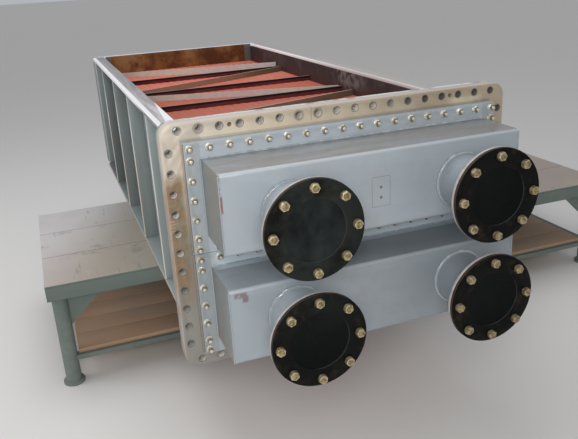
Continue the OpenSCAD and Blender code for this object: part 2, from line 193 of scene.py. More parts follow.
class Shader:
    """Builds one material's nodes from Python expressions, over a base colour that it keeps."""

    def __init__(self, name, base):
        self.base = base
        self.material = bpy.data.materials.new(name)
        self.material.use_nodes = True
        self.tree = self.material.node_tree
        self.tree.nodes.clear()
        self.place = self.node("TexCoord", {}, {}, "Object")
        split = self.node("SeparateXYZ", {}, {0: self.place}).socket.node
        # X, Y and Z from the middle of the tube sheet's face
        self.x, self.y, self.z = (Link(self, split.outputs[i]) - MID[i] for i in range(3))

    def node(self, kind, settings, inputs, output=0):
        """Adds a node: settings first, then the values or links of its sockets."""
        made = self.tree.nodes.new("ShaderNode" + kind)
        for key, value in settings.items():
            setattr(made, key, value)
        for key, value in inputs.items():
            if isinstance(value, Link):
                self.tree.links.new(value.socket, made.inputs[key])
            else:
                made.inputs[key].default_value = value
        return Link(self, made.outputs[output])

    def noise(self, scale, detail=4.0, rough=0.6, place=None):
        """Soft noise from 0 to 1."""
        inputs = {"Vector": place or self.place, "Scale": scale, "Detail": detail}
        return self.node("TexNoise", {}, {**inputs, "Roughness": rough})

    def streaks(self, x, y, z, detail=4.0, rough=0.6, turn=0.0):
        """Noise with a scale of its own along each axis, turned about Z."""
        inputs = {"Vector": self.place, "Scale": (x, y, z), "Rotation": (0.0, 0.0, turn)}
        return self.noise(1.0, detail, rough, self.node("Mapping", {}, inputs))

    def mix(self, mask, first, second):
        """A colour between first and second."""
        inputs = {0: mask, 6: self.four(first), 7: self.four(second)}
        return self.node("Mix", {"data_type": "RGBA"}, inputs, 2)

    def lay(self, mask, colour):
        """Lays a colour over the base where the mask is 1."""
        self.base = self.mix(mask, self.base, colour)

    def shade(self, factor):
        """Makes the base lighter or darker by a varying factor."""
        self.base = self.tint(self.base, factor)

    def tint(self, base, factor):
        """A colour made lighter or darker by a varying factor."""
        grey = self.node("CombineXYZ", {}, {0: factor, 1: factor, 2: factor})
        base = base if isinstance(base, Link) else tuple(base)[:3]
        return self.node("VectorMath", {"operation": "MULTIPLY"}, {0: base, 1: grey})

    @staticmethod
    def four(value):
        """A link, or a colour with its alpha."""
        return value if isinstance(value, Link) else (*tuple(value)[:3], 1.0)

    def bump(self, height, distance, strength=1.0, under=None):
        """The surface's direction with small bumps, on top of those under it."""
        inputs = {"Height": height, "Distance": distance, "Strength": strength}
        if under is not None:
            inputs["Normal"] = under
        return self.node("Bump", {}, inputs)

    def facing(self, axis):
        """How far the surface faces along an axis, from -1 to 1."""
        way = self.node("NewGeometry", {}, {}, "True Normal")
        split = self.node("SeparateXYZ", {}, {0: way}).socket.node
        return Link(self, split.outputs[axis])

    def finish(self, rough, metal=0.0, normal=None, coat=0.0, shine=0.5):
        """Closes the material with its surface shader."""
        inputs = {
            "Base Color": self.four(self.base),
            "Roughness": rough,
            "Metallic": metal,
            "Specular IOR Level": shine,
            "Coat Weight": coat,
            "Coat Roughness": 0.12,
        }
        if normal is not None:
            inputs["Normal"] = normal
        surface = self.node("BsdfPrincipled", {}, inputs)
        out = self.tree.nodes.new("ShaderNodeOutputMaterial")
        self.tree.links.new(surface.socket, out.inputs["Surface"])
        return self.material


def gloss_paint(s, dirt=0.3):
    """Makes the base sprayed machine paint with light dust, and gives its roughness and normal."""
    cloud = s.noise(1.7, 3, 0.5)
    fine = s.noise(26)
    dust = (s.noise(3.3, 5, 0.65) + 0.3 * fine).ramp(0.62, 0.9)
    s.shade(0.9 + 0.14 * cloud + 0.06 * fine)
    s.lay(dust * dirt, (0.3, 0.28, 0.25))
    normal = s.bump(s.noise(9, 2, 0.5), 0.002, 0.3)
    normal = s.bump(s.noise(380, 2, 0.5), 0.0002, 0.35, normal)
    return 0.4 + 0.2 * dust + 0.1 * fine, normal


def water_box_paint(colours):
    """Paint of the water boxes: grime and painted shade on the ends, dust and painted shade on the
    tops, painted shade to the right and on the lower box, a painted highlight on the top bend,
    rubbed red marks, bare flange sides with painted shade, painted light between the boxes.
    """
    s = Shader("water_box_paint", colours.box_paint)
    rough, normal = gloss_paint(s)
    streak = s.streaks(30, 30, 5)
    half = plane("upper_water_box", 1, 0)
    # the end faces: real grime, with painted shade darkening them
    shaded_grimy_ends = abs(s.x).ramp(half - 0.0015, half - 0.0005) * s.y.ramp(-0.03, -0.04)
    dark_mottle = s.mix(streak.ramp(0.4, 0.65), (0.17, 0.195, 0.185), (0.2, 0.165, 0.13))
    s.lay(shaded_grimy_ends * 0.85, dark_mottle)
    lower = s.z.ramp(0.005, -0.005)
    # painted shade: darker towards the right, and darker on the lower box towards the middle
    s.shade(1 - 0.1 * s.x.ramp(-0.3, 0.4) - lower * (0.1 + 0.12 * s.x.ramp(-0.35, 0.0)))
    # top faces: dust on the upper box, and painted shade darkening all the tops
    top = s.facing(2).ramp(0.8, 0.95) * s.y.ramp(-0.04, -0.05)
    dusty = s.streaks(5, 24, 5).ramp(0.3, 0.6)
    dusty = s.mix(dusty * (1 - lower), s.base, (0.34, 0.325, 0.3))
    s.lay(top, s.tint(dusty, 0.72 + lower * (0.2 - 0.1 * s.x.ramp(0.0, -0.4))))
    # painted highlight along the top front bend, weaker on the lower box
    lit = s.facing(2).ramp(0.2, 0.5) * s.facing(2).ramp(0.98, 0.9) * s.y.ramp(-0.2, -0.22)
    s.lay(lit * (0.3 - 0.15 * lower), (0.62, 0.66, 0.68))
    # bare sides of the flanges with painted shade towards their front and to the right, a painted
    # shadow line along their front, painted light between the boxes
    flange = s.y.ramp(-0.037, -0.035)
    s.shade(1 + 0.1 * flange)
    behind = s.y.ramp(-0.0342, -0.033)
    bare_and_shaded_side = s.mix(s.y.ramp(-0.017, -0.024), (0.56, 0.49, 0.41), (0.11, 0.105, 0.1))
    s.lay(abs(s.x).ramp(SEAT_X - 0.002, SEAT_X - 0.0005) * behind, bare_and_shaded_side)
    bare_and_shaded_side = s.mix(s.x.ramp(-0.5, 0.3), (0.3, 0.265, 0.22), (0.21, 0.18, 0.13))
    s.lay(abs(s.z).ramp(SEAT_Z - 0.002, SEAT_Z - 0.0005) * behind, bare_and_shaded_side)
    shadow_line = flange * s.z.ramp(0.3528, 0.3536) * s.y.ramp(-0.0325, -0.0335)
    s.lay(shadow_line * 0.85, (0.13, 0.12, 0.105))
    # painted light on the flange fronts and the lower box's top in the gap between the boxes
    painted_light_between = flange.high(s.y.ramp(-0.068, -0.06) * s.facing(2).ramp(0.5, 0.9) * lower)
    painted_light_between = painted_light_between * abs(s.z).ramp(0.075, 0.07) * s.x.ramp(-0.5, -0.45)
    s.lay(painted_light_between * 0.8, (0.66, 0.76, 0.82))
    scrape = s.noise(60, 3)
    front = s.y.ramp(-0.215, -0.225)
    mark = s.x.band(-0.486, 0.0025, 0.002) * s.z.band(0.2135, 0.02, 0.01) * scrape.ramp(0.3, 0.45)
    above = s.x.band(-0.4875, 0.002, 0.002) * s.z.band(0.268, 0.026, 0.02) * scrape.ramp(0.4, 0.55)
    smudge = s.x.band(-0.455, 0.014, 0.01) * s.z.band(-0.07, 0.004, 0.008)
    smudge = smudge.high(s.x.band(-0.441, 0.006, 0.006) * s.z.band(-0.083, 0.008, 0.006))
    s.lay(mark * front * 0.85, (0.27, 0.07, 0.075))
    s.lay(above * front * 0.7, (0.2, 0.13, 0.1))
    s.lay(smudge * front * scrape.ramp(0.34, 0.5) * 0.8, (0.2, 0.13, 0.14))
    # the outline and two fixing holes where a plate was
    thin = 0.0009, 0.0009
    sides = (s.x.band(-0.026, *thin) + s.x.band(0.034, *thin)) * s.z.band(0.1735, 0.0465, 0.001)
    rims = (s.z.band(0.127, *thin) + s.z.band(0.22, *thin)) * s.x.band(0.004, 0.03, 0.001)
    s.lay(sides.high(rims) * front * streak.ramp(0.2, 0.45) * 0.45, (0.16, 0.15, 0.2))
    dots = s.z.band(0.187, 0.003, 0.002) + s.z.band(0.155, 0.003, 0.002)
    s.lay(s.x.band(0.004, 0.003, 0.002) * dots * front * 0.8, (0.07, 0.07, 0.09))
    return s.finish(rough, normal=normal, coat=0.25, shine=0.4)


def nozzle_paint(colours):
    """Box paint with the bare, pinkish rim of the nozzle flange, and painted shade on the right and
    lower nozzles.
    """
    s = Shader("nozzle_paint", colours.box_paint)
    rough, normal = gloss_paint(s)
    fine = s.noise(40, 4, 0.5)
    neck = (s.noise(12, 4, 0.65) + 0.2 * fine).ramp(0.62, 0.8)
    s.lay(neck * 0.3, (0.25, 0.2, 0.17))
    # painted shade: the right nozzles and the lower ones darker
    right = s.x.ramp(-0.01, 0.01)
    s.shade(1 - 0.3 * right - 0.08 * s.z.ramp(0.01, -0.01))
    rim = s.y.ramp(-0.388, -0.3895)
    steel = s.mix(fine.ramp(0.3, 0.7), (0.36, 0.335, 0.32), (0.5, 0.46, 0.435))
    s.lay(rim, steel)
    return s.finish(rough, normal=normal, coat=0.2, shine=0.4)


def weld_paint(colours):
    """Painted weld metal, lumpy and shinier than the plates round it, with painted glints where it
    faces up.
    """
    s = Shader("weld_paint", colours.box_paint)
    lump = s.noise(85, 3)
    s.shade(0.7 + 0.35 * lump)
    # painted glints: pale spots where the bead faces up
    painted_glints = s.noise(38, 2, 0.5).ramp(0.5, 0.6) * s.facing(2).ramp(0.1, 0.6)
    s.lay(painted_glints * 0.5, (0.66, 0.7, 0.72))
    return s.finish(0.16, normal=s.bump(lump, 0.002, 0.9), coat=0.6)


def casing_paint(colours):
    """Side panels and ribs: blue grey paint with painted shade towards the rear, pale outer edges,
    dark inside.
    """
    s = Shader("casing_paint", colours.casing_paint)
    rough, normal = gloss_paint(s, 0.4)
    run = s.streaks(12, 12, 1.2)
    s.lay(run.ramp(0.5, 0.75) * 0.35, (0.17, 0.185, 0.175))
    # painted shade: darker towards the rear, more so on the left
    rear = 0.15 + 0.15 * s.x.ramp(0.0, -0.1)
    s.shade(1.3 - 0.5 * s.y.ramp(0.1, 2.0) - rear * s.y.ramp(1.7, 2.4))
    side = abs(s.x)
    # pale outer edges of the ribs, stronger lower down
    pale_streaks = s.streaks(8, 8, 3, 3)
    edge = side.ramp(0.549, 0.551) * pale_streaks.ramp(0.22, 0.4)
    edge = edge * (0.3 + 0.6 * s.z.ramp(0.32, 0.1))
    warm = s.mix(s.z.ramp(0.15, -0.05), colours.pale_edge, (0.86, 0.76, 0.68))
    s.lay(edge, s.mix(s.z.ramp(-0.325, -0.335), warm, (0.42, 0.37, 0.33)))
    # dark inside the casing, darker and redder lower down, with lighter scuffs
    inside = side.ramp(CLEAR_X + 0.0025, CLEAR_X + 0.0015)
    dark_mottle = s.noise(6, 5, 0.7)
    dark = s.mix(dark_mottle.ramp(0.45, 0.7), (0.03, 0.02, 0.02), (0.07, 0.052, 0.05))
    dark = s.mix(s.z.ramp(0.31, 0.25) * 0.7, dark, (0.06, 0.016, 0.016))
    scuff = s.noise(24, 4, 0.7).ramp(0.42, 0.6) * s.x.ramp(0.0, 0.1)
    scuff = scuff * s.y.band(1.02, 0.06, 0.16) * s.z.ramp(0.24, 0.29)
    dark = s.mix(scuff * 0.6, dark, (0.2, 0.185, 0.175))
    s.lay(inside, dark)
    return s.finish(rough + 0.2 * inside, normal=normal, shine=0.35)


def top_flange_paint_and_reflection(colours):
    """Top flanges: painted reflection of a pale band beside a dull grey band, pale inner edges."""
    s = Shader("top_flange_paint_and_reflection", colours.pale_edge)
    streak = s.streaks(60, 4, 60)
    fine = s.noise(45, 3, 0.5)
    s.shade(0.9 + 0.2 * streak)
    grey_reflection_band = s.mix(streak.ramp(0.35, 0.65), (0.24, 0.23, 0.235), (0.39, 0.365, 0.365))
    stain = s.noise(5).ramp(0.5, 0.7)
    grey_reflection_band = s.mix(stain * 0.3, grey_reflection_band, (0.2, 0.18, 0.17))
    grey_reflection_band = s.tint(grey_reflection_band, 1 + 0.6 * s.y.ramp(1.3, 0.4))
    # on the left the painted reflection of the pale inner edge widens towards the tube sheet
    widening = 0.077 * (0.75 - s.y).high(0.0)
    left = s.x.ramp(-0.5365, -0.534) * (s.x + widening).ramp(-0.484, -0.487)
    right = s.x.ramp(0.494, 0.497)
    on_top = s.z.ramp(CASING_Z - 0.003, CASING_Z - 0.0015)
    s.lay(left * on_top, grey_reflection_band)
    # on the right: a greyish painted reflection on the inner band and towards the front
    s.lay(right * on_top, s.tint((0.4, 0.37, 0.34), 0.8 + 0.4 * streak))
    worn = s.x.ramp(0.0, 0.1) * s.y.ramp(1.8, 0.9)
    s.lay(worn * (0.5 + 0.4 * streak), (0.42, 0.39, 0.36))
    lip = s.mix(fine.ramp(0.3, 0.7), (0.36, 0.34, 0.32), (0.28, 0.26, 0.24))
    outer = abs(s.x).ramp(0.5505, 0.552) * (1 - on_top) * s.y.ramp(0.85, 0.55)
    s.lay(outer, lip)
    return s.finish(0.35 + 0.2 * streak, 0.15, s.bump(fine, 0.0004, 0.4), 0.1)


def mounting_holes(s):
    """Distance to the nearest hole's axis, of the rows and of all, and the mask of the walls."""
    row = s.x.near(ROW_X, HOLE_PITCH).reach(abs(s.z) - ROW_Z)
    column = (abs(s.x) - COLUMN_X).reach(s.z.near(COLUMN_Z, HOLE_PITCH))
    hole = row.low(column + abs(s.z).ramp(COLUMN_Z + 0.02, COLUMN_Z + 0.03))
    walls = (1 - abs(s.facing(1))).ramp(0.5, 0.9) * hole.ramp(HOLE_R + 0.0025, HOLE_R + 0.0018)
    return row, hole, walls


def machined_steel(colours):
    """Bare tube sheet: milled face with painted light on the left and painted shade to the right
    and below, painted light and shade in the holes, with a rusty left margin.
    """
    s = Shader("machined_steel", colours.bare_steel)
    cloud = s.noise(5, 5)
    fine = s.noise(60)
    mill = s.streaks(14, 14, 900, 2, 0.5)
    # painted light: lighter on the left; painted shade: darker below and towards the right
    s.lay(s.x.ramp(-0.3, -0.5), (0.61, 0.545, 0.455))
    s.base = s.mix(s.z.ramp(-0.02, 0.22), (0.27, 0.262, 0.235), s.base)
    s.shade(1.04 - 0.36 * s.x.ramp(-0.6, 0.6) + 0.2 * cloud - 0.12 * fine)
    warm = s.noise(9, 4, 0.65)
    streak = s.streaks(70, 70, 9, 4, 0.65)
    grease = s.streaks(6, 6, 22)
    olive = s.x.ramp(-0.3, 0.35) * (0.4 + 0.6 * grease.ramp(0.42, 0.6))
    s.lay(olive * 0.5, (0.36, 0.28, 0.175))
    left = s.x.ramp(-0.53, -0.555)
    rust = left * s.z.ramp(-0.24, -0.05) * s.z.ramp(0.262, 0.235)
    brown = s.mix(streak.ramp(0.35, 0.6), (0.27, 0.19, 0.12), (0.24, 0.185, 0.1))
    brown = s.mix(warm.ramp(0.5, 0.65) * 0.6, brown, (0.36, 0.23, 0.17))
    spots = s.noise(20, 4, 0.65)
    brown = s.mix(spots.ramp(0.5, 0.66) * 0.6, brown, (0.34, 0.185, 0.1))
    brown = s.mix(spots.ramp(0.48, 0.36) * 0.5, brown, (0.27, 0.255, 0.23))
    s.lay(rust * (0.5 + 0.5 * warm.ramp(0.3, 0.55)), brown)
    stain = (s.noise(2.4, 5, 0.7) + 0.2 * warm).ramp(0.62, 0.85)
    s.lay(stain * 0.4, (0.27, 0.2, 0.13))
    # pale patches near the top: a smear at the right, a painted highlight at the left
    smear_and_highlight = s.x.band(-0.368, 0.022, 0.03) * s.z.band(0.357, 0.005, 0.014)
    smear_and_highlight = smear_and_highlight.high(s.x.band(0.44, 0.03, 0.05) * s.z.band(0.362, 0.006, 0.012))
    s.lay(smear_and_highlight * warm.ramp(0.3, 0.5) * 0.75, (0.66, 0.6, 0.43))
    dashes = s.z.near(0.0765, 0.0105).ramp(0.0034, 0.0022) * s.z.band(0.095, 0.019, 0.003)
    dashes = dashes * (s.x + 0.02 * warm).band(-0.58, 0.006, 0.004)
    s.lay(dashes * 0.8, (0.56, 0.3, 0.22))
    # painted highlight on the sheet's outer edge faces
    rim = abs(s.x).ramp(SHEET_X - 0.004, SHEET_X - 0.001)
    rim = rim.high(s.z.ramp(SHEET_Z - 0.004, SHEET_Z - 0.001))
    s.lay(rim * 0.6, (0.58, 0.51, 0.46))
    orange = s.x.ramp(0.0015 - SHEET_X, 0.0005 - SHEET_X)
    orange = orange * s.z.ramp(0.3, 0.2) * warm.ramp(0.35, 0.55)
    s.lay(orange * 0.6, (0.42, 0.25, 0.14))
    # pen lines round one hole
    pen = s.x.band(-0.119, 0.0008, 0.001).high(s.x.band(-0.069, 0.0006, 0.001) * 0.5)
    pen = pen * s.z.ramp(0.36, 0.365)
    pen = pen.high(s.z.band(0.4, 0.0005, 0.001) * s.x.band(-0.094, 0.026, 0.001))
    s.lay(pen * 0.45 * streak.ramp(0.3, 0.5), (0.12, 0.11, 0.12))
    # painted shade in the corner along the flanges, and dark rings round the holes
    corner_shade = abs(s.x).ramp(SEAT_X + 0.0045, SEAT_X + 0.001)
    corner_shade = corner_shade * s.z.ramp(SEAT_Z, SEAT_Z - 0.001) * s.z.ramp(-SEAT_Z - 0.0045, -SEAT_Z - 0.001)
    s.lay(corner_shade * 0.3, (0.1, 0.09, 0.1))
    row, hole, bore = mounting_holes(s)
    rings = hole.band(HOLE_R + 0.0013, 0.0008, 0.0012) * (0.35 + 0.65 * streak.ramp(0.35, 0.5))
    s.lay(rings * 0.8, (0.13, 0.115, 0.09))
    some = s.x.band(-0.48, 0.025, 0.003) + s.x.band(-0.128, 0.055, 0.003)
    s.lay(row.band(HOLE_R + 0.0048, 0.001, 0.0014) * some * 0.6, (0.25, 0.205, 0.17))
    # the holes' walls: painted light where they face up and left, painted shade deeper in, more
    # painted shade in the holes to the right and low on the left
    low = (s.facing(2) * 0.75 - s.facing(0) * 0.45).ramp(-0.7, 0.3)
    wall = s.mix(low, (0.3, 0.27, 0.235), (0.95, 0.92, 0.85))
    wall = s.mix(s.y.ramp(0.033, 0.044), wall, (0.3, 0.26, 0.225))
    dim = s.x.ramp(0.06, 0.28).high(left * s.z.ramp(0.02, -0.12) * 0.5)
    s.lay(bore, s.tint(wall, 1 - 0.78 * dim))
    normal = s.bump(mill, 0.00015, 0.3, s.bump(cloud, 0.0006, 0.3))
    return s.finish(0.42 + 0.2 * rust + 0.12 * cloud, 0.2, normal)


def end_frame_paint(colours):
    """End frame behind the tube sheet: casing paint, dull metal darkened by painted shade in its
    holes, pale top edge.
    """
    s = Shader("end_frame_paint", colours.casing_paint)
    rough, normal = gloss_paint(s, 0.4)
    # painted shade on the holes' walls
    s.lay(mounting_holes(s)[2], (0.2, 0.17, 0.15))
    edge = s.z.ramp(SHEET_Z - 0.004, SHEET_Z - 0.001) * s.noise(20, 3, 0.5).ramp(0.35, 0.55)
    s.lay(edge * 0.6, colours.pale_edge)
    return s.finish(rough, normal=normal, shine=0.35)


def rear_sheet_finish(colours):
    """Rear tube sheet: paint outside, rust brown panel and grey side strips inside."""
    s = Shader("rear_sheet_finish", colours.casing_paint)
    rough, normal = gloss_paint(s, 0.4)
    blotch = s.noise(7, 6, 0.7)
    spot = s.noise(22, 5, 0.7)
    lean = s.x.ramp(0.3, -0.35)
    deep = (blotch + 0.12 * lean).ramp(0.42, 0.66)
    rust = s.mix(deep, (0.085, 0.026, 0.006), (0.2, 0.08, 0.018))
    pale = (s.noise(3.5) + 0.25 * spot + 0.06 * lean).ramp(0.68, 0.8)
    rust = s.mix(pale * 0.4, rust, (0.32, 0.2, 0.1))
    face = plane("rear_tube_sheet", 0, 1)
    inside = s.y.ramp(face + 0.003, face + 0.001)
    inside = inside * abs(s.x).ramp(CLEAR_X + 0.0015, CLEAR_X + 0.0005)
    s.lay(inside, s.mix(abs(s.x).ramp(0.446, 0.442), (0.13, 0.12, 0.115), rust))
    edge = s.z.ramp(CASING_Z - 0.003, CASING_Z - 0.0015)
    edge = abs(s.x).ramp(0.538, 0.541).high(edge)
    worn = (0.6 + 0.5 * blotch) * (1 - 0.6 * s.x.ramp(-0.535, -0.55))
    s.lay(edge * 0.9, s.tint(colours.pale_edge, worn))
    return s.finish(rough + 0.3 * inside, normal=normal, shine=0.3)


def cover_paint(colours):
    """Covers: black paint with a brown cast on the ring, a painted reflection lightening the upper
    left cover, rust brown rims.
    """
    s = Shader("cover_paint", (0.019, 0.023, 0.0225))
    cloud = s.noise(9)
    fine = s.noise(70)
    front = plane("upper_left_cover", 0, 1)
    from_axis = (abs(s.x) - NOZZLE_X).reach(abs(s.z) - NOZZLE_Z)
    # painted reflection lightening the upper left cover
    cover_reflection = s.x.ramp(0.0, -0.3) * s.z.ramp(-0.2, 0.15)
    smear = s.streaks(9, 9, 5)
    s.shade(0.1 + 1.1 * cover_reflection * smear.ramp(0.25, 0.65) + 0.25 * cloud)
    patch = s.noise(22, 4, 0.65)
    brown = s.mix(patch.ramp(0.5, 0.72) * 0.8, colours.black_paint, (0.028, 0.02, 0.012))
    brown = s.mix(cover_reflection * cloud.ramp(0.3, 0.6) * 0.85, brown, (0.026, 0.031, 0.028))
    s.lay(from_axis.ramp(0.0875, 0.089), brown)
    s.lay(fine.ramp(0.6, 0.8) * 0.25, (0.04, 0.042, 0.04))
    # the recess's edge catches light at its lower right
    across = s.x + NOZZLE_X - 2 * NOZZLE_X * s.x.ramp(-0.01, 0.01)
    up = s.z + NOZZLE_Z - 2 * NOZZLE_Z * s.z.ramp(-0.01, 0.01)
    edge = from_axis.band(0.0888, 0.0006, 0.001) * (across - up * 0.7).ramp(0.02, 0.08)
    s.lay(edge * 0.45, (0.055, 0.066, 0.07))
    rim = s.y.ramp(front + 0.0015, front + 0.003) * from_axis.ramp(0.138, 0.14)
    s.lay(rim, (0.06, 0.042, 0.036))
    return s.finish(0.3 + 0.2 * fine, normal=s.bump(cloud, 0.0015, 0.2), shine=0.05)


def plate_paint(colours):
    """Support plates: dusty top edge, black face, dark red lower down."""
    s = Shader("plate_paint", colours.black_paint)
    fine = s.noise(30)
    top = plane("support_plate_1", 1, 2)
    dust = s.streaks(6, 6, 6, 3)
    low = s.z.ramp(top - 0.009, top - 0.012) * s.z.ramp(-top, 0.1)
    s.lay(low, s.mix(dust.ramp(0.4, 0.6), (0.09, 0.012, 0.016), (0.13, 0.025, 0.028)))
    edge = s.facing(2).ramp(0.5, 0.9)
    s.lay(edge, s.mix(dust.ramp(0.35, 0.65), (0.19, 0.19, 0.155), (0.3, 0.28, 0.25)))
    return s.finish(0.6 + 0.2 * fine, normal=s.bump(fine, 0.0005, 0.4), shine=0.2)


def copper_fins(colours):
    """Wound copper fins: fine rings along each tube, painted shade in the grooves between tubes,
    painted light towards the far end.
    """
    s = Shader("copper_fins", colours.copper_fins)
    rings = s.node(
        "TexWave",
        {"wave_type": "BANDS", "bands_direction": "Y"},
        {"Vector": s.place, "Scale": 115.0, "Distortion": 0.4, "Detail": 1.0, "Detail Scale": 1.5},
    )
    cloud = s.noise(2.6)
    fine = s.noise(70, 3)
    rows = s.streaks(60, 6, 1, 3)
    s.lay(cloud.ramp(0.3, 0.7), (0.5, 0.165, 0.115))
    s.shade(0.66 + 0.3 * rings + 0.12 * fine + 0.3 * rows)
    top = plane("fin_banks", 1, 2)
    # painted shade in the grooves between the tubes' backs, painted light towards the far end
    depth = abs(s.z).ramp(top - 0.0004, top - 0.0024)
    s.shade(1 - 0.12 * depth + 0.4 * s.y.ramp(1.3, 2.0))
    normal = s.bump(rings, 0.0012, 0.6, s.bump(fine, 0.0008, 0.4))
    return s.finish(0.75, normal=normal, shine=0.15)


def strip_steel(colours):
    """Flat strips with painted light and shade: pale where they face left, dark brown where they
    face right, buff on their lit tops.
    """
    s = Shader("strip_steel", colours.strip_grey)
    run = s.noise(1.6, 2, 0.5)
    fine = s.noise(40)
    s.lay(run.ramp(0.35, 0.65), (0.54, 0.46, 0.45))
    brown = s.mix(run.ramp(0.4, 0.6), (0.13, 0.09, 0.05), (0.19, 0.14, 0.09))
    brown = s.mix(s.y.ramp(1.2, 1.6) * s.x.ramp(0.3, 0.0), brown, (0.31, 0.17, 0.12))
    # painted shade on the faces that face right, painted light on the tops
    s.lay(s.facing(0).ramp(0.1, 0.3), brown)
    s.lay(s.facing(2).ramp(0.5, 0.9), (0.5, 0.44, 0.38))
    s.shade(0.8 + 0.4 * fine)
    return s.finish(0.5, normal=s.bump(fine, 0.0004, 0.4))


def plated(s, dark):
    """Makes the base plating that differs from fastener to fastener, and gives its grain."""
    patch = s.node("TexVoronoi", {"feature": "F1"}, {"Vector": s.place, "Scale": 95.0}, "Color")
    grey = s.node("SeparateXYZ", {}, {0: patch})
    fine = s.noise(240, 3, 0.5)
    s.lay(grey.ramp(0.4, 0.9), dark)
    s.shade(0.8 + 0.4 * fine)
    return fine


def yellow_zinc(colours):
    """Cover bolts: pale plated flanks, golden brown faces, dull washers, with painted shade to the
    right and below.
    """
    s = Shader("yellow_zinc", colours.zinc_yellow)
    fine = plated(s, (0.32, 0.25, 0.14))
    # painted shade: darker towards the right and below
    s.shade(1.15 - 0.25 * s.x.ramp(-0.3, 0.3) - 0.12 * s.z.ramp(0.05, -0.1))
    front = plane("upper_left_cover", 0, 1)
    # distance from the axis of the nearest of the eight bolts
    across, up = abs(abs(s.x) - NOZZLE_X), abs(abs(s.z) - NOZZLE_Z)
    far, short = across.high(up), across.low(up)
    straight, slanting = 0.12, 0.08485
    from_bolt = (far - straight).reach(short)
    from_bolt = from_bolt.low((far - slanting).reach(short - slanting))
    face = s.y.ramp(front - 0.0129, front - 0.0136) * from_bolt.ramp(0.0105, 0.0085)
    gold = s.mix(s.noise(150, 3, 0.5).ramp(0.4, 0.6), (0.42, 0.32, 0.16), (0.16, 0.12, 0.055))
    s.lay(face * 0.9, gold)
    s.lay(s.y.band(front - 0.0017, 0.0018, 0.0004), (0.17, 0.125, 0.075))
    return s.finish(0.3 + 0.2 * fine, 0.65, s.bump(fine, 0.0001, 0.3))


def white_zinc(colours):
    """Flange nuts: pale washers and stud ends, with painted shade round the threads."""
    s = Shader("white_zinc", colours.zinc_white)
    fine = plated(s, (0.66, 0.6, 0.46))
    front = plane("upper_box_flange", 0, 1)
    back = plane("upper_return_box", 0, 1) + RETURN_FLANGE
    out = (front - s.y).high(s.y - back)
    # painted shade in the ring round the stud at the nut's face
    s.lay(out.ramp(0.0112, 0.0122) * out.ramp(0.0208, 0.02), (0.3, 0.27, 0.2))
    s.lay(out.ramp(0.0205, 0.0212), (0.74, 0.7, 0.6))
    return s.finish(0.3 + 0.2 * fine, 0.6, s.bump(fine, 0.0001, 0.3))


def table_paint(colours):
    """Grey green table paint with scuffs."""
    s = Shader("table_paint", colours.table_paint)
    rough, normal = gloss_paint(s, 0.4)
    scuff = s.noise(14, 5, 0.7).ramp(0.55, 0.72)
    s.lay(scuff * 0.3, (0.23, 0.225, 0.2))
    return s.finish(rough + 0.12, normal=normal, shine=0.35)


def table_plate(colours):
    """Worn table top: rubbed plate with two seams along it, scratches, oil marks and painted glare
    towards the back left.
    """
    s = Shader("table_plate", colours.table_top)
    cloud = s.noise(3, 5)
    fine = s.noise(35, 4, 0.65)
    s.shade(0.78 + 0.3 * cloud + 0.15 * fine)
    green = (s.x + 0.3 * cloud).ramp(-0.85, -0.45) * (1 - s.x.ramp(0.9, 1.3))
    s.lay(green * 0.6, (0.25, 0.235, 0.19))
    # painted glare: paler towards the back left
    painted_glare = (s.y * 0.5 - s.x).ramp(1.15, 1.75)
    s.lay(painted_glare * 0.8, s.tint((0.62, 0.6, 0.6), 0.8 + 0.4 * cloud))
    front, back = plane("table_top", 0, 1), plane("table_top", 1, 1)
    seams = front + (back - front) / 3, front + (back - front) * 2 / 3
    seam = s.y.band(seams[0], 0.0015, 0.0025) + s.y.band(seams[1], 0.0015, 0.0025)
    broken = s.streaks(9, 1, 1, 2).ramp(0.3, 0.5)
    s.lay(seam * (0.45 + 0.35 * broken), (0.12, 0.105, 0.09))
    wear = s.noise(2.2, 3).ramp(0.45, 0.62)
    scratch = s.streaks(26, 4, 1, 3, turn=0.55).ramp(0.62, 0.68)
    s.lay(scratch * wear * 0.4, (0.5, 0.47, 0.44))
    score = s.streaks(40, 5, 1, 3, turn=-0.5).ramp(0.64, 0.69)
    s.lay(score * wear * 0.5, (0.14, 0.125, 0.11))
    oil = (s.noise(7, 5, 0.65) + 0.1 * fine).ramp(0.64, 0.76)
    s.lay(oil * 0.4, (0.15, 0.135, 0.115))
    top = plane("table_top", 1, 2)
    s.lay(s.z.ramp(top - 0.0008, top - 0.002), colours.table_paint)
    normal = s.bump(seam, 0.001, -0.6, s.bump(fine, 0.0004, 0.35))
    return s.finish(0.5 + 0.15 * oil, 0.05, normal, shine=0.4)


def shelf_wood(colours):
    """Brown boards with grain along them."""
    s = Shader("shelf_wood", colours.boards)
    grain = s.streaks(2.5, 70, 70, 6, 0.65)
    board = s.streaks(0.05, 6.5, 0.05, 1, 0.5)
    s.lay(grain.ramp(0.25, 0.75), (0.42, 0.29, 0.2))
    s.shade(0.85 + 0.3 * board)
    dust = s.noise(2.5).ramp(0.45, 0.7)
    s.lay(dust * 0.35, (0.3, 0.27, 0.23))
    return s.finish(0.8, normal=s.bump(grain, 0.0012, 0.5), shine=0.25)


def plain(name, base, rough):
    """A small piece's finish with a little grain."""
    s = Shader(name, base)
    fine = s.noise(120)
    s.shade(0.8 + 0.4 * fine)
    return s.finish(rough, normal=s.bump(fine, 0.0002, 0.4))


def mesh_of(name, bm):
    """Turns a filled bmesh into a mesh."""
    mesh = bpy.data.meshes.new(name)
    bm.to_mesh(mesh)
    bm.free()
    return mesh


def add_object(name, data):
    """Adds an object to the scene."""
    obj = bpy.data.objects.new(name, data)
    bpy.context.scene.collection.objects.link(obj)
    return obj


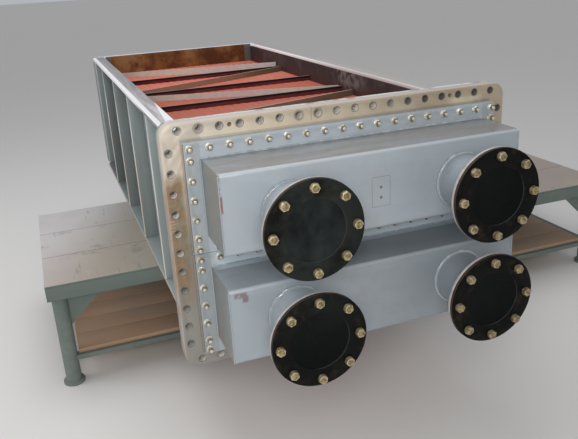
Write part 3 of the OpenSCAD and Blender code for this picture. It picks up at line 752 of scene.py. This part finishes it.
def piece(name, bm, material, smooth=40.0):
    """Turns a filled bmesh into a piece that rides with the part."""
    mesh = mesh_of(name, bm)
    mesh.shade_smooth()
    mesh.set_sharp_from_angle(angle=math.radians(smooth))
    mesh.materials.append(material)
    obj = add_object(name, mesh)
    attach(obj, "root")
    return obj


def edges_of(made):
    """Edges at the vertices that a bmesh operator made."""
    return {e for v in made["verts"] for e in v.link_edges}


def round_off(bm, edges, width, sections, clamp=False):
    """Rounds edges off to a width."""
    bmesh.ops.bevel(
        bm,
        geom=list(edges),
        offset=width,
        offset_type="OFFSET",
        segments=sections,
        profile=0.5,
        affect="EDGES",
        clamp_overlap=clamp,
        material=-1,
    )


def edged(names, width, material):
    """Stands in for CAD nodes with their own shapes and slightly rounded sharp edges."""
    sharp = math.radians(35)
    for name in names:
        bm = bmesh.new()
        bm.from_mesh(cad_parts[name].data)
        bmesh.ops.remove_doubles(bm, verts=bm.verts, dist=1e-5)
        bmesh.ops.dissolve_limit(bm, angle_limit=math.radians(1), verts=bm.verts, edges=bm.edges)
        edges = [e for e in bm.edges if len(e.link_faces) == 2 and e.calc_face_angle(0) > sharp]
        round_off(bm, edges, width, 2, clamp=True)
        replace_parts(piece(f"{name}_edged", bm, material, 30.0), name)


def finish_nodes(material, names):
    """Gives CAD nodes a finish."""
    for name in names:
        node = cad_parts[name]
        node.data.materials.clear()
        node.data.materials.append(material)


def add_prism(bm, sides, radius, depth, matrix, edge=0.0, sections=1):
    """A closed prism from its base up the matrix's Z, with its top edge rounded."""
    made = bmesh.ops.create_cone(
        bm,
        cap_ends=True,
        cap_tris=False,
        segments=sides,
        radius1=radius,
        radius2=radius,
        depth=depth,
        matrix=matrix @ move((0, 0, depth / 2)),
    )
    if edge:
        axis = matrix.to_3x3() @ Vector((0, 0, 1))
        top = matrix.translation.dot(axis) + depth * 0.99
        rim = [e for e in edges_of(made) if all(v.co.dot(axis) > top for v in e.verts)]
        round_off(bm, rim, edge, sections)


def stacked(*layers):
    """A mesh of prisms on top of each other: sides, radius, height, rounding and its sections."""
    bm = bmesh.new()
    foot = 0.0
    for sides, radius, height, edge, sections in layers:
        add_prism(bm, sides, radius, height, move((0, 0, foot)), edge, sections)
        foot += height
    return mesh_of("template", bm)


def across_corners(flats):
    """Radius of the corners of a hexagon, from the width across its flats."""
    return flats / 2 / math.cos(math.pi / 6)


def spread(half, pitch):
    """Even places from -half to half, about a pitch apart."""
    gaps = round(2 * half / pitch)
    return [half * (2 * i / gaps - 1) for i in range(gaps + 1)]


def any_turn(rng):
    """A random turn of a bolt or nut about its axis."""
    return Matrix.Rotation(rng.uniform(0, math.tau), 4, "Z")


def repeat(bm, mesh, matrices):
    """Adds a copy of the mesh at each matrix."""
    for matrix in matrices:
        start = len(bm.verts)
        bm.from_mesh(mesh)
        bm.verts.ensure_lookup_table()
        bmesh.ops.transform(bm, matrix=matrix, verts=bm.verts[start:])


def roughen(bm, amount, scale, seed):
    """Moves vertices a little, for hand laid weld."""
    noise.seed_set(seed)
    shift = Vector((seed * 3.7, seed * 1.3, seed * 2.1))
    for vert in bm.verts:
        vert.co += noise.noise_vector(vert.co * scale + shift) * amount


class COOLER_OT_finishes(bpy.types.Operator):
    """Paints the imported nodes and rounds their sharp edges"""

    bl_idname = "cooler.finishes"
    bl_label = "Finishes"

    def execute(self, context):
        colours = context.scene.cooler_colours
        sides, levels = ("left", "right"), ("upper", "lower")
        edged(["tube_sheet"], 0.0012, machined_steel(colours))
        edged(["casing_end_frame"], 0.001, end_frame_paint(colours))
        edged(["rear_tube_sheet"], 0.002, rear_sheet_finish(colours))
        paint = water_box_paint(colours)
        edged([f"{level}_box_flange" for level in levels], 0.0012, paint)
        boxes = [f"{level}_{kind}_box" for kind in ("water", "return") for level in levels]
        edged(boxes, 0.0015, paint)
        paint, black = nozzle_paint(colours), cover_paint(colours)
        for name in NOZZLES:
            edged([f"{name}_nozzle"], 0.001, paint)
            edged([f"{name}_cover"], 0.0012, black)
        paint = casing_paint(colours)
        finish_nodes(paint, [f"{side}_wall" for side in sides])
        bars = [f"{side}_{kind}" for kind in ("ribs", "bottom_flange") for side in sides]
        edged(bars, 0.0012, paint)
        top_flanges = [f"{side}_top_flange" for side in sides]
        edged(top_flanges, 0.0018, top_flange_paint_and_reflection(colours))
        finish_nodes(plate_paint(colours), [f"support_plate_{i}" for i in range(1, 7)])
        finish_nodes(strip_steel(colours), ["zigzag_strips"])
        edged(["table_top"], 0.002, table_plate(colours))
        paint = table_paint(colours)
        aprons = [f"{edge}_apron" for edge in ("front", "rear", "left", "right")]
        edged(aprons, 0.001, paint)
        frame_nodes = ["table_legs", "leg_gussets", "long_rails", "cross_rails"]
        edged(frame_nodes, 0.002, paint)
        return {"FINISHED"}


class COOLER_OT_cover_bolts(bpy.types.Operator):
    """Adds the bolts, washers and nuts of the four nozzle covers"""

    bl_idname = "cooler.cover_bolts"
    bl_label = "Cover bolts"

    def execute(self, context):
        sizes = context.scene.cooler_sizes
        corner, washer = across_corners(sizes.bolt_flats), sizes.bolt_flats * 0.57
        heads = stacked((24, washer, 0.0035, 0.0006, 1), (6, corner, sizes.bolt_head, 0.0022, 2))
        tails = stacked(
            (24, washer, 0.003, 0.0006, 1),
            (6, corner, 0.013, 0.0018, 2),
            (16, sizes.bolt_shank / 2, 0.007, 0.0015, 1),
        )
        finish = yellow_zinc(context.scene.cooler_colours)
        radius = sizes.cover_bolt_circle / 2
        rng = random.Random(4)
        for name in NOZZLES:
            cover_lo, cover_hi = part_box(f"{name}_cover")
            x, z = (cover_lo.x + cover_hi.x) / 2, (cover_lo.z + cover_hi.z) / 2
            fronts, backs = [], []
            for i in range(sizes.cover_bolts):
                angle = math.pi / 2 + i * math.tau / sizes.cover_bolts
                at_x, at_z = x + math.cos(angle) * radius, z + math.sin(angle) * radius
                turn = any_turn(rng)
                front = move((at_x, cover_lo.y, at_z))
                back = move((at_x, cover_hi.y + NOZZLE_FLANGE, at_z))
                fronts.append(front @ TOWARDS_VIEWER @ turn)
                backs.append(back @ AWAY_FROM_VIEWER @ turn)
            bm = bmesh.new()
            repeat(bm, heads, fronts)
            repeat(bm, tails, backs)
            piece(f"{name}_bolts", bm, finish)
        return {"FINISHED"}


class COOLER_OT_flange_studs(bpy.types.Operator):
    """Adds the studs and nuts round the four water box flanges"""

    bl_idname = "cooler.flange_studs"
    bl_label = "Flange studs"

    def execute(self, context):
        sizes = context.scene.cooler_sizes
        nut = stacked(
            (20, sizes.stud_flats * 0.6, 0.0025, 0.0004, 1),
            (6, across_corners(sizes.stud_flats), 0.01, 0.0014, 2),
            (12, sizes.stud_shank / 2, 0.009, 0.002, 2),
        )
        finish = white_zinc(context.scene.cooler_colours)
        rng = random.Random(9)
        for name in ("upper_box", "lower_box", "upper_return", "lower_return"):
            # the return boxes' flanges have the outline of the water boxes' in front
            level = name.split("_")[0]
            lo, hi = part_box(f"{level}_box_flange")
            x, z = (lo.x + hi.x) / 2, (lo.z + hi.z) / 2
            far_x = (hi.x - lo.x) / 2 - sizes.stud_edge
            far_z = (hi.z - lo.z) / 2 - sizes.stud_edge
            row = spread(far_x, sizes.stud_pitch)
            column = spread(far_z - sizes.stud_corner, sizes.stud_pitch)
            spots = [(dx, side * far_z) for dx in row for side in (-1, 1)]
            spots += [(side * far_x, dz) for dz in column for side in (-1, 1)]
            face, way = lo.y, TOWARDS_VIEWER
            if name.endswith("return"):
                face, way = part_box(f"{name}_box")[0].y + RETURN_FLANGE, AWAY_FROM_VIEWER
            places = [move((x + dx, face, z + dz)) @ way @ any_turn(rng) for dx, dz in spots]
            bm = bmesh.new()
            repeat(bm, nut, places)
            piece(f"{name}_studs", bm, finish)
        return {"FINISHED"}


class COOLER_OT_nozzle_trim(bpy.types.Operator):
    """Adds each nozzle's weld bead and the gasket under its cover"""

    bl_idname = "cooler.nozzle_trim"
    bl_label = "Nozzle welds and gaskets"

    def execute(self, context):
        sizes = context.scene.cooler_sizes
        paint = weld_paint(context.scene.cooler_colours)
        rubber = plain("gasket_rubber", (0.02, 0.02, 0.02), 0.7)
        for seed, name in enumerate(NOZZLES):
            lo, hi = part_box(f"{name}_nozzle")
            centre = Vector(((lo.x + hi.x) / 2, hi.y, (lo.z + hi.z) / 2))
            toe = move(centre + Vector((PIPE_R + 0.003, -0.0025, 0)))
            bm = bmesh.new()
            ring = bmesh.ops.create_circle(bm, segments=10, radius=sizes.weld * 0.6, matrix=toe)
            bmesh.ops.spin(
                bm,
                geom=ring["verts"] + list(bm.edges),
                cent=centre,
                axis=(0, 1, 0),
                angle=math.tau,
                steps=150,
                use_merge=True,
            )
            bmesh.ops.remove_doubles(bm, verts=bm.verts, dist=1e-6)
            roughen(bm, 0.0009, 90.0, seed + 1)
            bmesh.ops.recalc_face_normals(bm, faces=bm.faces)
            piece(f"{name}_weld", bm, paint)
            # the gasket's rim shows as a thin ring round the joint of cover and flange
            cover_lo, cover_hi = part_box(f"{name}_cover")
            thick, proud = 0.0016, 0.0004
            band = move((centre.x, cover_hi.y + thick / 2, centre.z)) @ TOWARDS_VIEWER
            bm = bmesh.new()
            add_prism(bm, 96, (cover_hi.x - cover_lo.x) / 2 + proud, thick, band)
            piece(f"{name}_gasket", bm, rubber)
        return {"FINISHED"}


class COOLER_OT_box_welds(bpy.types.Operator):
    """Adds the weld beads on the ends of the water boxes and at their flanges"""

    bl_idname = "cooler.box_welds"
    bl_label = "Water box welds"

    def execute(self, context):
        paint = bpy.data.materials["weld_paint"]
        for level in ("upper", "lower"):
            lo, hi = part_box(f"{level}_water_box")
            corner, foot = 0.002, 0.0038
            bm = bmesh.new()
            for x in (lo.x, hi.x):
                self.bead(bm, (x, lo.y, lo.z + 0.006), (x, lo.y, hi.z - 0.006), corner)
                self.bead(bm, (x, hi.y, lo.z), (x, hi.y, hi.z), foot)
            for z in (lo.z, hi.z):
                self.bead(bm, (lo.x, hi.y, z), (hi.x, hi.y, z), foot)
            roughen(bm, 0.0007, 120.0, 5)
            piece(f"{level}_box_welds", bm, paint, smooth=60.0)
        lo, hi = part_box("casing_end_frame")
        x, y, z = lo.x, hi.y, hi.z - 0.0055
        bm = bmesh.new()
        self.bead(bm, (x + 0.014, y, z - 0.0085), (x + 0.040, y, z), 0.004)
        self.bead(bm, (x + 0.038, y, z), (x + 0.074, y, z), 0.0045)
        roughen(bm, 0.0012, 90.0, 2)
        chalk = plain("weld_primer", (0.85, 0.84, 0.82), 0.45)
        piece("frame_corner_weld", bm, chalk, smooth=60.0)
        return {"FINISHED"}

    @staticmethod
    def bead(bm, start, end, radius):
        """A round bead between two points, cut into short rings."""
        start, end = Vector(start), Vector(end)
        run = end - start
        turn = run.to_track_quat("Z", "Y").to_matrix().to_4x4()
        made = bmesh.ops.create_cone(
            bm,
            cap_ends=True,
            segments=8,
            radius1=radius,
            radius2=radius,
            depth=run.length,
            matrix=move((start + end) / 2) @ turn,
        )
        along = [e for e in edges_of(made) if e.calc_length() > run.length * 0.9]
        cuts = max(2, round(run.length / 0.008))
        bmesh.ops.subdivide_edges(bm, edges=along, cuts=cuts, use_grid_fill=True)


class COOLER_OT_finned_tubes(bpy.types.Operator):
    """Replaces the plain fin banks by ridged banks of finned tubes"""

    bl_idname = "cooler.finned_tubes"
    bl_label = "Finned tubes"

    def execute(self, context):
        sizes = context.scene.cooler_sizes
        lo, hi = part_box("fin_banks")
        stops = [lo.y]
        for i in range(1, 7):
            stops += [corner.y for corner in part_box(f"support_plate_{i}")]
        stops.append(hi.y)
        tubes = round((hi.x - lo.x) / sizes.tube_pitch)
        steps = 6  # across each tube's back
        bm = bmesh.new()
        for start, end in zip(stops[::2], stops[1::2]):
            made = bmesh.ops.create_grid(
                bm,
                x_segments=tubes * steps,
                y_segments=1,
                size=0.5,
                matrix=move(((lo.x + hi.x) / 2, (start + end) / 2, hi.z))
                @ Matrix.Diagonal((hi.x - lo.x, end - start, 1, 1)),
            )
            top = list(made["verts"])
            faces = list({f for v in top for f in v.link_faces})
            grown = bmesh.ops.extrude_face_region(bm, geom=faces)["geom"]
            bottom = [v for v in grown if isinstance(v, bmesh.types.BMVert)]
            bmesh.ops.translate(bm, verts=bottom, vec=(0, 0, lo.z - hi.z))
            for vert in top + bottom:
                across = (vert.co.x - lo.x) / (hi.x - lo.x) * tubes % 1.0
                drop = sizes.ridge * (1 - math.sin(math.pi * across))
                vert.co.z += -drop if vert.co.z > (lo.z + hi.z) / 2 else drop
        bmesh.ops.remove_doubles(bm, verts=bm.verts, dist=1e-6)
        bmesh.ops.recalc_face_normals(bm, faces=bm.faces)
        copper = copper_fins(context.scene.cooler_colours)
        tubes_piece = piece("finned_tubes", bm, copper, 50.0)
        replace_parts(tubes_piece, "fin_banks")
        return {"FINISHED"}


class COOLER_OT_shelf_boards(bpy.types.Operator):
    """Replaces the plain shelf by separate boards"""

    bl_idname = "cooler.shelf_boards"
    bl_label = "Shelf boards"

    def execute(self, context):
        sizes = context.scene.cooler_sizes
        lo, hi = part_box("shelf")
        count = round((hi.y - lo.y + sizes.board_gap) / (sizes.board + sizes.board_gap))
        step = (hi.y - lo.y + sizes.board_gap) / count
        table_lo, table_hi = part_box("table_top")
        middle_x = (table_lo.x + table_hi.x) / 2
        leg_room = 0.042
        bm = bmesh.new()
        for i in range(count):
            y0 = lo.y + i * step
            y1 = y0 + step - sizes.board_gap
            parts = [(lo.x, hi.x)]
            if i in (0, count - 1):
                parts = [(lo.x, middle_x - leg_room), (middle_x + leg_room, hi.x)]
            for x0, x1 in parts:
                made = bmesh.ops.create_cube(
                    bm,
                    size=1,
                    matrix=move(((x0 + x1) / 2, (y0 + y1) / 2, (lo.z + hi.z) / 2))
                    @ Matrix.Diagonal((x1 - x0, y1 - y0, hi.z - lo.z, 1)),
                )
                round_off(bm, edges_of(made), 0.0015, 2)
        wood = shelf_wood(context.scene.cooler_colours)
        boards = piece("shelf_boards", bm, wood)
        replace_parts(boards, "shelf")
        return {"FINISHED"}


class COOLER_OT_stage(bpy.types.Operator):
    """Adds the floor, the soft light and the camera"""

    bl_idname = "cooler.stage"
    bl_label = "Stage"

    def execute(self, context):
        scene = context.scene
        bm = bmesh.new()
        bmesh.ops.create_grid(bm, x_segments=1, y_segments=1, size=60)
        floor = add_object("floor", mesh_of("floor", bm))
        floor.data.materials.append(Shader("pale_floor", (0.75, 0.73, 0.7)).finish(0.8))

        world = bpy.data.worlds.new("studio")
        world.use_nodes = True
        back = world.node_tree.nodes["Background"]
        back.inputs["Color"].default_value = (0.93, 0.95, 1.0, 1)
        back.inputs["Strength"].default_value = 0.48
        scene.world = world
        self.lamp("key", (-1.5, -3.6, 2.0), 1.1, 38, (1.0, 0.98, 0.95))
        self.lamp("side", (-6.0, 0.4, 3.0), 3.6, 75, (0.97, 0.98, 1.0))
        self.lamp("top", (-0.9, 0.2, 4.4), 3.0, 60, (0.95, 0.97, 1.0))

        # the camera that was fitted to the photo
        scene.view_settings.view_transform = "Standard"
        camera = add_object("camera", bpy.data.cameras.new("camera"))
        camera.data.sensor_width = 36
        camera.data.lens = 42.18
        camera.data.clip_end = 200
        right = Vector((0.93494, -0.35066, -0.05409))
        down = Vector((-0.17005, -0.30905, -0.93572))
        ahead = Vector((0.3114, 0.88404, -0.34857))
        turn = Matrix((right, -down, -ahead)).transposed().to_4x4()
        place = MID + Vector((-0.8976, -1.9454, 0.8149))
        camera.matrix_world = move(place) @ turn
        scene.camera = camera
        return {"FINISHED"}

    @staticmethod
    def lamp(name, at, size, power, tone):
        """A round soft lamp that points at the cooler."""
        data = bpy.data.lights.new(name, "AREA")
        data.shape = "DISK"
        data.size = size
        data.energy = power
        data.color = tone
        lamp = add_object(name, data)
        lamp.location = at
        way = Vector((-0.3, -0.4, 0.7)) - Vector(at)
        lamp.rotation_euler = way.to_track_quat("-Z", "Y").to_euler()


class COOLER_PT_panel(bpy.types.Panel):
    """Lists the dressing's sizes, colours and steps"""

    bl_idname = "COOLER_PT_panel"
    bl_label = "Air cooler"
    bl_space_type = "VIEW_3D"
    bl_region_type = "UI"
    bl_category = "Air cooler"

    def draw(self, context):
        for group in (context.scene.cooler_sizes, context.scene.cooler_colours):
            for key in group.bl_rna.properties.keys():
                if key not in {"rna_type", "name"}:
                    self.layout.prop(group, key)
        for step in STEPS:
            self.layout.operator(step.bl_idname)


STEPS = (
    COOLER_OT_finishes,
    COOLER_OT_cover_bolts,
    COOLER_OT_flange_studs,
    COOLER_OT_nozzle_trim,
    COOLER_OT_box_welds,
    COOLER_OT_finned_tubes,
    COOLER_OT_shelf_boards,
    COOLER_OT_stage,
)
CLASSES = (CoolerSizes, CoolerColours, *STEPS, COOLER_PT_panel)


def register():
    for cls in CLASSES:
        bpy.utils.register_class(cls)
    bpy.types.Scene.cooler_sizes = PointerProperty(type=CoolerSizes)
    bpy.types.Scene.cooler_colours = PointerProperty(type=CoolerColours)


def unregister():
    del bpy.types.Scene.cooler_colours
    del bpy.types.Scene.cooler_sizes
    for cls in reversed(CLASSES):
        bpy.utils.unregister_class(cls)


def main():
    register()
    for step in STEPS:
        group, name = step.bl_idname.split(".")
        getattr(getattr(bpy.ops, group), name)()


if __name__ == "__main__":
    main()
